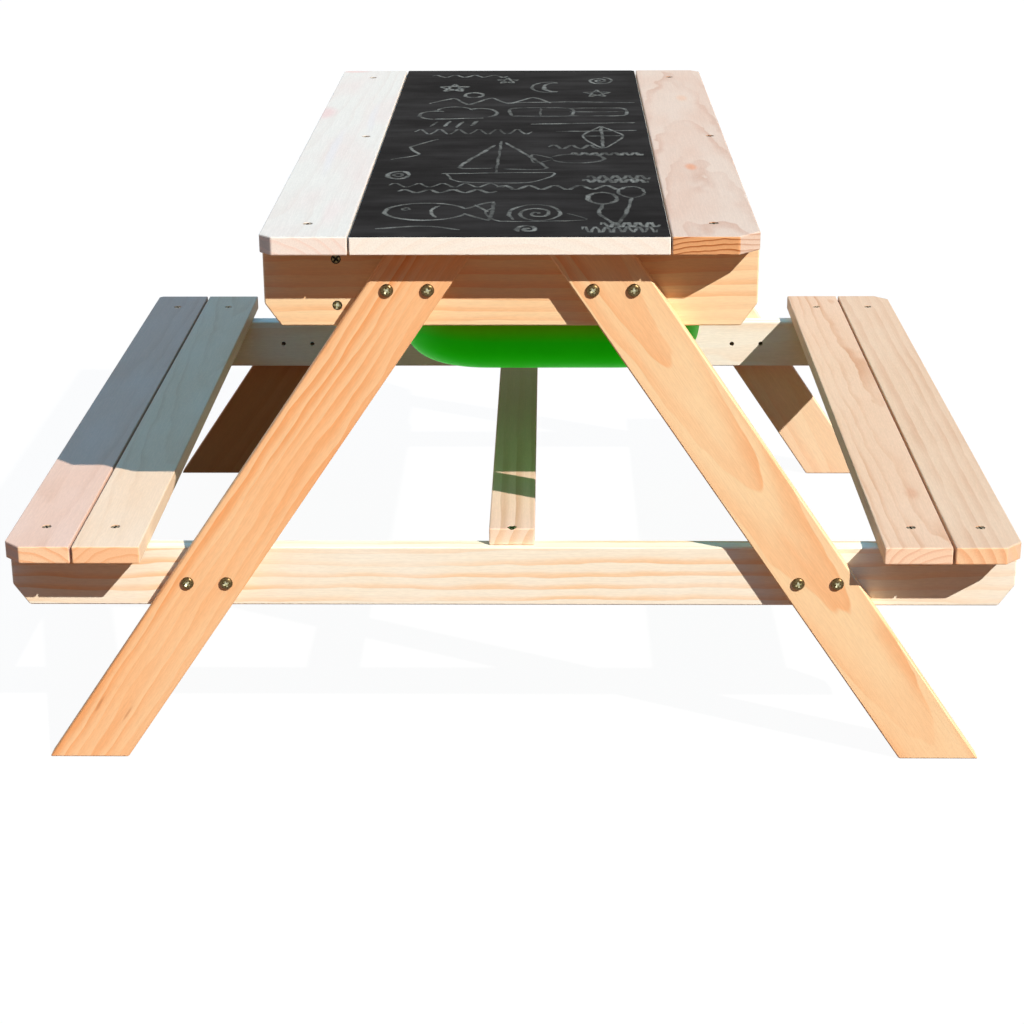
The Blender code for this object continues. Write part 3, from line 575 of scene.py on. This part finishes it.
# Boards: grain direction, wood, colours, ring width, heart's place and lean, and marks. Each
# board's colours were fitted on their own to the tones it shows under this light, so they carry
# some painted light and shade, and boards of one wood differ
CREAM_ENDS = ("#FBE3C8", "#F3CFA9")
LARCH_ENDS = ("#F6BE88", "#E29A60")
HIDDEN_PINE = dict(wood="pine", pale="#F6DCBC", figure="#E6BE93", tint="#F4DFC6",
                   ends=CREAM_ENDS, wave=8, waver=1.5, late_share=0.5, figure_share=0.5,
                   tint_share=0.4)
BOARDS = {
    "top_plank_left": dict(
        turn=ALONG_Y, wood="pine", pale="#DED7CB", figure="#D1BFB1", tint="#DFCBC0",
        ends=("#FBEEE2", "#FAE3D4"), ring=9, heart=(-50, -60), lean=(0.01, 0.03), wave=9,
        waver=1.5, late_share=0.6, figure_share=0.3, tint_share=0.5, seed=1,
        spots=((-34, -150, 15, 48, "#E2B4AE", 0.5), (-24, -425, 24, 10, "#E6B8AE", 0.6),
               (16, 330, 12, 70, "#E6CFC6", 0.4), (-6, 60, 7, 150, "#D8D4D2", 0.5),
               (20, -120, 6, 120, "#DAD6D4", 0.4))),
    "top_plank_right": dict(
        turn=ALONG_Y, wood="pine", pale="#D9C1AD", figure="#BF9178", tint="#D4B099",
        ends=("#EBAE78", "#A4561F"), ring=4.4, heart=(-2, -170), lean=(0.004, -0.019), wave=8,
        waver=2.2, late_share=0.6, figure_share=0.62, tint_share=0.6, seed=2,
        spots=((-5, 142, 7, 22, "#DB9670", 0.8), (6, -238, 9, 26, "#DFAC88", 0.5))),
    "seat_plank_left_inner": dict(
        turn=ALONG_Y, wood="pine", pale="#E8CAAC", figure="#D5AC88", tint="#EAD4BB",
        ends=("#FFCB9C", "#F8B986"), ring=8, heart=(18, -42), lean=(0.01, 0.03), wave=10,
        waver=2, late_share=0.65, figure_share=0.45, tint_share=0.5, seed=3),
    "seat_plank_left_outer": dict(
        turn=ALONG_Y, wood="pine", pale="#DDB9A4", figure="#CA9F86", tint="#E0C2B1",
        ends=("#FFD6AC", "#FABB8A"), ring=9, heart=(-25, -55), lean=(0.01, 0.03), wave=9,
        waver=1.5, late_share=0.6, figure_share=0.35, tint_share=0.5, seed=4),
    "seat_plank_right_inner": dict(
        turn=ALONG_Y, wood="pine", pale="#E1BC9D", figure="#C9916B", tint="#E5C4A7",
        ends=("#FFDCBC", "#F5C4A0"), ring=7, heart=(24, -34), lean=(0.004, 0.015), wave=9,
        waver=2, late_share=0.6, figure_share=0.85, tint_share=0.4, seed=5,
        spots=((14, 290, 9, 20, "#D09878", 0.5),)),
    "seat_plank_right_outer": dict(
        turn=ALONG_Y, wood="pine", pale="#DDBB9C", figure="#CC9F7F", tint="#E1C4A7",
        ends=("#FFD3A6", "#F7BA8A"), ring=10, heart=(-58, -34), lean=(0.0, -0.008), wave=9,
        waver=1.5, late_share=0.35, figure_share=0.75, tint_share=0.5, seed=6),
    "stretcher": dict(
        turn=ALONG_Y, wood="pine", pale="#EBCBB9", figure="#C99C7D", tint="#EAD1C6",
        ends=CREAM_ENDS, ring=12, heart=(66, -22), lean=(0.0, 0.005), wave=5,
        waver=1, late_share=0.35, figure_share=0.8, tint_share=0.3, seed=7,
        # The large spot over the far part is painted shade: that part lies in shade under the tub
        # and is darker than the lit near end
        spots=((0, -120, 160, 430, "#C88C80", 0.9),)),
    "well_board_left": dict(HIDDEN_PINE, turn=ALONG_Y, ring=9, heart=(-60, 12), lean=(0.03, 0.01),
                            seed=8),
    "well_board_right": dict(HIDDEN_PINE, turn=ALONG_Y, ring=10, heart=(48, 20),
                             lean=(-0.03, 0.01), seed=9),
    "upper_rail_front": dict(
        turn=ALONG_X, wood="pine", pale="#FDE1B5", figure="#F4B881", tint="#FAD09E",
        ends=CREAM_ENDS, ring=9, heart=(74, 40), lean=(0.004, 0.012), wave=11,
        waver=2, late_share=0.4, figure_share=0.7, tint_share=0.5, seed=10),
    "upper_rail_back": dict(
        turn=ALONG_X, wood="pine", pale="#FDE0B2", figure="#F4B77F", tint="#FACF9B",
        ends=CREAM_ENDS, ring=11, heart=(20, -70), lean=(0.01, -0.02), wave=9,
        waver=1.5, late_share=0.4, figure_share=0.5, tint_share=0.5, seed=11),
    "lower_rail_front": dict(
        turn=ALONG_X, wood="pine", pale="#FDF5E0", figure="#FBCE9A", tint="#FDFAEE",
        ends=CREAM_ENDS, ring=10, heart=(74, 40), lean=(0.004, 0.012), wave=13,
        waver=2.5, late_share=0.5, figure_share=0.9, tint_share=0.5, seed=12),
    "lower_rail_back": dict(
        turn=ALONG_X, wood="pine", pale="#FDF3E1", figure="#F8D4AD", tint="#FDF8EE",
        ends=CREAM_ENDS, ring=11, heart=(-10, 48), lean=(0.01, -0.01), wave=8,
        waver=1.5, late_share=0.5, figure_share=0.5, tint_share=0.5, seed=13),
    "leg_front_left": dict(
        turn=LEFT_LEG, wood="larch", pale="#FDD09E", figure="#F29A52", tint="#FDBF86",
        ends=LARCH_ENDS, ring=9, heart=(66, 30), lean=(0.004, 0.03), wave=17,
        waver=3, late_share=0.2, figure_share=0.75, tint_share=0.5, seed=14,
        spots=((-20, -238, 2, 14, "#C98A5C", 0.6), (6, -232, 1.6, 12, "#C98A5C", 0.6))),
    "leg_front_right": dict(
        turn=RIGHT_LEG, wood="larch", pale="#FDDCAD", figure="#F4A362", tint="#FDCC98",
        ends=LARCH_ENDS, ring=11, heart=(3, 26), lean=(0.0, 0.075), wave=14,
        waver=3, late_share=0.3, figure_share=0.6, tint_share=0.5, seed=15),
    # The back left leg's wood is written a darker brown than the other legs': painted shade, for
    # the deep shade under the top
    "leg_back_left": dict(
        turn=LEFT_LEG, wood="larch", pale="#C18859", figure="#AF6A38", tint="#BC7D4D",
        ends=LARCH_ENDS, ring=10, heart=(-22, 40), lean=(0.01, 0.02), wave=10,
        waver=2, late_share=0.4, figure_share=0.6, tint_share=0.5, seed=16),
    "leg_back_right": dict(
        turn=RIGHT_LEG, wood="larch", pale="#FDE1BE", figure="#F2BB8A", tint="#FDD3B1",
        ends=LARCH_ENDS, ring=10, heart=(16, 38), lean=(0.01, -0.03), wave=10,
        waver=2, late_share=0.4, figure_share=0.6, tint_share=0.5, seed=17),
    "lid_panel": dict(
        turn=ALONG_Y, wood="painted_board", pale="#FFF6EA", figure="#FAE3CC", tint="#FEF0E0",
        ends=("#FFF9EC", "#FFF5E6"), ring=12, heart=(0, -150), lean=(0.01, 0.01), wave=6,
        waver=1, late_share=0.5, figure_share=0.4, tint_share=0.5, seed=18, painted=True),
    "lid_cleat_front": dict(HIDDEN_PINE, turn=ALONG_X, ring=8, heart=(-40, 20), lean=(0.02, 0.01),
                            seed=19),
    "lid_cleat_back": dict(HIDDEN_PINE, turn=ALONG_X, ring=9, heart=(-44, -20), lean=(0.01, 0.02),
                           seed=20),
}
for board, look in BOARDS.items():
    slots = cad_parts[board].data.materials
    finish = planed_wood(board, **look)
    slots.clear()
    slots.append(finish)

# Screws: one turned form for each kind, with a cross recess cut into its head


def round_head(head_r, head_h, shank_r):
    """Outline of a domed head, from its underside at height 0 to its crown."""
    turns = [math.radians(90) * step / DOME_STEPS for step in range(DOME_STEPS)]
    dome = [(head_r * math.cos(turn),
             LEG_SCREW_RIM_H + (head_h - LEG_SCREW_RIM_H) * math.sin(turn)) for turn in turns]
    return [(shank_r, 0), (head_r * DOME_FOOT_SHARE, 0), (head_r, DOME_FOOT_H), *dome,
            (head_r * CROWN_SHARE, head_h)]


def flat_head(head_r, head_h, shank_r):
    """Outline of a countersunk head, with its top at height 0."""
    return [(shank_r, -head_h), (head_r, -FLAT_RIM_LOW), (head_r, -FLAT_RIM_HIGH),
            (head_r * SHADOW_RIM_SHARE, 0), (head_r * CROWN_SHARE, 0)]


def recess_rings(top):
    """Rings of a cross recess that narrows downwards from the top of a head."""
    arm = RECESS_ARM_W / 2
    rings = []
    for reach, height in ((RECESS_SPAN / 2, top + RECESS_OVERCUT), (RECESS_SPAN / 2, top),
                          (RECESS_SPAN / 2 * RECESS_FLOOR_SHARE, top - RECESS_DEPTH)):
        rings.append([(x, y, height) for x, y in (
            (arm, arm), (reach, arm), (reach, -arm), (arm, -arm), (arm, -reach), (-arm, -reach),
            (-arm, -arm), (-reach, -arm), (-reach, arm), (-arm, arm), (-arm, reach),
            (arm, reach))])
    return rings


def screw_mesh(name, material, inside, head, head_r, head_h, shank_r, tip_h, length):
    """A screw along Z. The recess shows the material inside, and head is the function that gives
    the head's outline."""
    outline = [(shank_r * TIP_SHARE, -length), (shank_r, tip_h - length)]
    outline += head(head_r, head_h, shank_r)
    form = bmesh.new()
    skin(form, turned(outline))
    body = mesh_object(name, form, material)
    body.data.materials.append(inside)
    body.data.materials.append(shade_and_grime)
    # A flat head's outer rim takes the dark material: painted shadow of the gap round a
    # countersunk head
    if head is flat_head:
        for face in body.data.polygons:
            if face.center.xy.length > head_r * SHADOW_RIM_SHARE:
                face.material_index = 2
    cut = bmesh.new()
    skin(cut, recess_rings(outline[-1][1]))
    cutter = mesh_object(name + "_recess", cut, material)
    cutter.data.materials.append(inside)
    for face in cutter.data.polygons:
        face.material_index = 1
    recess = body.modifiers.new("recess", "BOOLEAN")
    recess.object = cutter
    recess.operation = "DIFFERENCE"
    recess.solver = "EXACT"
    graph = bpy.context.evaluated_depsgraph_get()
    made = bpy.data.meshes.new_from_object(body.evaluated_get(graph))
    made.shade_smooth()
    made.set_sharp_from_angle(angle=SCREW_SHARP_EDGE)
    for used in (body, cutter):
        bpy.data.objects.remove(used)
    return made


def drive(name, mesh, seat, outward, body):
    """Puts a screw in place at its own turn."""
    made = bpy.data.objects.new(name, mesh)
    turn = Matrix.Rotation(hand.uniform(0, math.pi), 4, "Z")
    face = outward.to_track_quat("Z", "Y").to_matrix().to_4x4()
    made.matrix_world = Matrix.Translation(seat) @ face @ turn
    bpy.context.scene.collection.objects.link(made)
    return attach(made, body)


bronze = plated_steel("bronze_plated_steel", "#4A3C24", "#786444", 0.34)
zinc = plated_steel("yellow_zinc_plated_steel", "#A89A7C", "#D8CEB4", 0.4)
# Bare steel in the recess, written pale: painted glints that show in every light
pale_glint_steel = plated_steel("bare_steel_with_painted_glints_in_recess", "#B4B090", "#E6E4CC", 0.45)
shade_and_grime = dark_shade_and_grime("painted_shade_and_oily_grime_round_screw")
LEG_SCREW = (round_head, LEG_SCREW_HEAD_R, LEG_SCREW_HEAD_H, LEG_SCREW_SHANK_R, LEG_SCREW_TIP_H)
PLANK_SCREW = (flat_head, PLANK_SCREW_HEAD_R, PLANK_SCREW_HEAD_H, PLANK_SCREW_SHANK_R,
               PLANK_SCREW_TIP_H)
low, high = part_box("leg_screw_front_left_upper_inner")
leg_screw = screw_mesh("leg_screw", bronze, pale_glint_steel, *LEG_SCREW, high.y - low.y - LEG_SCREW_HEAD_H)
low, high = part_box("top_screw_left_front")
plank_screw = screw_mesh("plank_screw", zinc, shade_and_grime, *PLANK_SCREW, high.z - low.z)

# The screws in the rails have gone as brown as bronze. The upper ones, in the top's shade, get a
# dark recess of painted shade; the lower ones a pale recess of painted glints
rail_screws = {place: screw_mesh("rail_screw_" + place, bronze, inside, *PLANK_SCREW,
                                 high.z - low.z)
               for place, inside in (("upper", shade_and_grime), ("lower", pale_glint_steel))}
cleat_screw = screw_mesh("cleat_screw", zinc, shade_and_grime, *PLANK_SCREW, CLEAT_SCREW_LENGTH)
for node in sorted(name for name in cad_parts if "_screw_" in name):
    low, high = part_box(node)
    middle = (low + high) / 2
    if high.z - low.z > high.y - low.y:
        outward = Vector((0, 0, 1))
        seat = Vector((middle.x, middle.y, high.z))
    elif "front" in node:
        outward = Vector((0, -1, 0))
        seat = Vector((middle.x, low.y, middle.z))
    else:
        outward = Vector((0, 1, 0))
        seat = Vector((middle.x, high.y, middle.z))
    if node.startswith("leg_screw"):
        piece = drive("bronze_" + node, leg_screw, seat - outward * LEG_SCREW_HEAD_H, outward,
                      FRAME_BODY)
    else:
        in_rail = node.startswith("well_screw")
        mesh = rail_screws[node.rsplit("_", 1)[1]] if in_rail else plank_screw
        piece = drive("zinc_" + node, mesh, seat, outward, FRAME_BODY)
    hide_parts(node)
for end in ("front", "back"):
    low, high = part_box("lid_cleat_" + end)
    for side, way in (("left", -1), ("right", 1)):
        seat = Vector(((low.x + high.x) / 2 + way * CLEAT_SCREW_OUT, (low.y + high.y) / 2,
                       low.z - CLEAT_SCREW_PROUD))
        piece = drive(f"cleat_screw_{end}_{side}", cleat_screw, seat, Vector((0, 0, -1)), LID_BODY)

# Sand tub


def rounded_ring(left, right, end, corner, height):
    """A level ring with round corners, from its left and right side and its half length."""
    points = []
    for quarter, (x, y) in enumerate(((right, end), (left, end), (left, -end), (right, -end))):
        middle = (x - math.copysign(corner, x - (left + right) / 2), y - math.copysign(corner, y))
        for step in range(TUB_CORNER_SEGMENTS + 1):
            turn = math.radians(90) * (quarter + step / TUB_CORNER_SEGMENTS)
            points.append((middle[0] + corner * math.cos(turn),
                           middle[1] + corner * math.sin(turn), height))
    return points


def tub_wall(top, inset, floor, fillet, mouth):
    """Rings of one face of the tub, from its mouth down its drafted wall to its floor. The draft
    is measured from the rim's top."""
    slope = math.tan(TUB_DRAFT)
    stations = [(mouth, 0)]
    for step in range(TUB_BOTTOM_SEGMENTS + 1):
        turn = math.radians(90) * step / TUB_BOTTOM_SEGMENTS
        stations.append((floor + fillet * (1 - math.sin(turn)), fillet * (1 - math.cos(turn))))
    rings = []
    for height, further in stations:
        drawn = inset + (top - height) * slope + further
        rings.append(rounded_ring(TUB_LEFT + drawn, TUB_RIGHT - drawn, TUB_END - drawn,
                                  max(TUB_CORNER_R - drawn, fillet / 2), height))
    return rings


low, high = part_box("sand_tub")
rim_under = high.z - TUB_RIM_T
edge = TUB_RIM_EDGE_R
outer_face = tub_wall(high.z, 0, low.z, TUB_BOTTOM_R, rim_under)
rim = [rounded_ring(low.x + inset, high.x - inset, high.y - inset, TUB_RIM_CORNER_R - inset,
                    height)
       for inset, height in ((edge, rim_under), (0, rim_under + edge), (0, high.z - edge),
                             (edge, high.z))]
inner_face = tub_wall(high.z, TUB_WALL_T, low.z + TUB_WALL_T, TUB_BOTTOM_R - TUB_WALL_T, high.z)
form = bmesh.new()
skin(form, outer_face[::-1] + rim + inner_face)
tub = mesh_object("moulded_sand_tub", form, moulded_plastic("green_polypropylene"),
                  TUB_SHARP_EDGE)
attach(tub, FRAME_BODY)
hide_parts("sand_tub")

# Chalk drawings: strokes of points in mm on the lid


def arc(across, along, half_across, half_along, start=0, end=360):
    """A stroke round an oval, from one angle to another in degrees."""
    steps = max(ARC_LEAST_STEPS, int(abs(end - start) / ARC_STEP_DEGREES))
    turns = [math.radians(start + (end - start) * step / steps) for step in range(steps + 1)]
    return [(across + half_across * math.cos(turn), along + half_along * math.sin(turn))
            for turn in turns]


def ripple(across, along, length, height, humps):
    """A wavy stroke across the lid."""
    steps = humps * RIPPLE_STEPS
    return [(across + length * step / steps,
             along + height * math.sin(2 * math.pi * humps * step / steps))
            for step in range(steps + 1)]


def spiral(across, along, radius, turns):
    """A stroke that winds outwards."""
    steps = int(turns * SPIRAL_STEPS)
    made = []
    for step in range(steps + 1):
        out = radius * step / steps
        turn = 2 * math.pi * turns * step / steps
        made.append((across + out * math.cos(turn), along + LONG_SHARE * out * math.sin(turn)))
    return made


def star(across, along, radius):
    """A five-pointed star in one stroke."""
    turns = [2 * math.tau / 5 * step for step in range(6)]
    return [(across + radius * math.sin(turn), along + LONG_SHARE * radius * math.cos(turn))
            for turn in turns]


STROKES = [
    # A sailing boat on waves
    [(70, 262), (84, 222), (150, 218), (172, 262), (66, 258)],
    [(118, 262), (120, 420)],
    [(124, 410), (166, 284), (124, 280)],
    [(114, 398), (82, 288), (114, 284)],
    ripple(20, 206, 110, 9, 5),
    ripple(120, 196, 118, 9, 5),
    ripple(30, 180, 90, 7, 4),
    # Two fish
    arc(60, 96, 36, 34, 20, 345),
    [(94, 106), (118, 134), (116, 62), (94, 88)],
    arc(42, 106, 3, 5),
    arc(74, 96, 9, 24, 110, 250),
    arc(196, 330, 26, 22, 200, 520),
    [(172, 330), (152, 350), (154, 308), (172, 326)],
    # A snail
    spiral(158, 88, 26, 2.6),
    [(184, 88), (200, 62), (126, 58), (112, 90), (118, 112)],
    [(114, 96), (102, 122)],
    # Balloons on strings
    arc(216, 150, 13, 24),
    arc(243, 176, 12, 23),
    [(216, 126), (212, 84), (226, 40)],
    [(243, 152), (236, 96), (226, 40)],
    # A kite with its tail
    [(222, 500), (244, 446), (222, 382), (202, 446), (222, 500)],
    [(222, 500), (222, 382)],
    [(202, 446), (244, 446)],
    ripple(168, 388, 54, 11, 3),
    # A cloud and rain
    arc(46, 566, 17, 24, 60, 270),
    arc(66, 590, 19, 26, 10, 170),
    arc(94, 578, 18, 28, -60, 130),
    [(46, 542), (98, 548)],
    [(50, 526), (44, 500)],
    [(64, 530), (58, 500)],
    [(78, 528), (71, 494)],
    [(92, 532), (87, 504)],
    # Squares for a hopping game
    [(128, 560), (190, 560), (190, 606), (128, 606), (128, 560)],
    [(159, 560), (159, 606)],
    [(190, 584), (248, 584)],
    [(190, 560), (248, 562), (248, 606), (190, 606)],
    # Loops, a zigzag, stars and rings further off
    ripple(30, 470, 120, 14, 6),
    [(36, 636), (62, 668), (80, 630), (104, 672), (124, 636), (150, 674), (170, 640)],
    star(60, 738, 17),
    star(222, 700, 15),
    star(120, 788, 13),
    arc(170, 742, 22, 36, 70, 290),
    arc(176, 742, 14, 30, 80, 280),
    spiral(226, 786, 16, 2.2),
    ripple(30, 820, 90, 8, 4),
    arc(84, 690, 10, 16),
    [(14, 326), (40, 350), (30, 388), (56, 430)],
    ripple(204, 240, 58, 10, 5),
    ripple(200, 224, 60, 8, 6),
    arc(26, 252, 10, 17),
    arc(26, 252, 4, 7),
    spiral(150, 28, 10, 1.6),
    ripple(196, 26, 64, 12, 7),
    ripple(212, 44, 50, 10, 5),
    ripple(190, 352, 70, 7, 7),
    [(176, 470), (258, 476)],
    [(150, 512), (258, 520)],
    [(120, 640), (190, 646), (262, 640)],
    [(20, 30), (60, 40), (92, 26)],
]


def hand_drawn(points):
    """Points of a stroke, one short step apart: its corners softened, with a hand's wobble."""
    ends = [points[0], *points, points[-1]]
    made = []
    for before, here, there, after in zip(ends, ends[1:], ends[2:], ends[3:]):
        parts = max(1, int(math.dist(here, there) / CHALK_STEP_MM))
        for part in range(parts):
            t = part / parts
            made.append([
                b * (1 + 2 * t) * (1 - t) ** 2 + c * t ** 2 * (3 - 2 * t)
                + CHALK_SOFT_SHARE * ((c - a) * t * (1 - t) ** 2 - (d - b) * t ** 2 * (1 - t))
                for a, b, c, d in zip(before, here, there, after)])
    made.append(points[-1])
    return [(u + hand.uniform(-1, 1) * CHALK_WOBBLE_MM, v + hand.uniform(-1, 1) * CHALK_WOBBLE_MM)
            for u, v in made]


def chalk_stroke(form, press, corner, points, lift):
    """A low ridge of chalk along a stroke. Its press layer says how hard the stick pushed. Lengths
    but the corner's are in mm."""
    force = hand.uniform(*CHALK_FORCE_SHARES)
    wide = hand.uniform(*CHALK_W_MM)
    last = len(points) - 1
    rows = []
    for place, (u, v) in enumerate(points):
        u0, v0 = points[max(0, place - 1)]
        u1, v1 = points[min(last, place + 1)]
        reach = math.hypot(u1 - u0, v1 - v0) or 1
        side = ((v0 - v1) / reach, (u1 - u0) / reach)
        taper = CHALK_END_SHARE if place in (0, last) else 1
        half = wide / 2 * taper * hand.uniform(*CHALK_W_SHARES)
        push = force * hand.uniform(*CHALK_PRESS_SHARES)
        full = half * CHALK_FULL_SHARE
        low = lift * CHALK_EDGE_SHARE
        row = []
        for offset, height, level in ((-half, -CHALK_THICK_MM, 0), (-half, low, 0),
                                      (-full, lift, push), (full, lift, push), (half, low, 0),
                                      (half, -CHALK_THICK_MM, 0)):
            row.append(form.verts.new((corner.x + (u + side[0] * offset) * MM,
                                       corner.y + (v + side[1] * offset) * MM,
                                       corner.z + height * MM)))
            row[-1][press] = level
        rows.append(row)
    join(form, rows)


low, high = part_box("lid_panel")
form = bmesh.new()
press = form.verts.layers.float.new("press")
for number, stroke in enumerate(STROKES):
    chalk_stroke(form, press, Vector((low.x, low.y, high.z)), hand_drawn(stroke),
                 CHALK_THICK_MM * (1 + CHALK_LAYER_SHARE * number))
chalk = mesh_object("chalk_drawing", form, chalk_on_paint())
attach(chalk, LID_BODY)
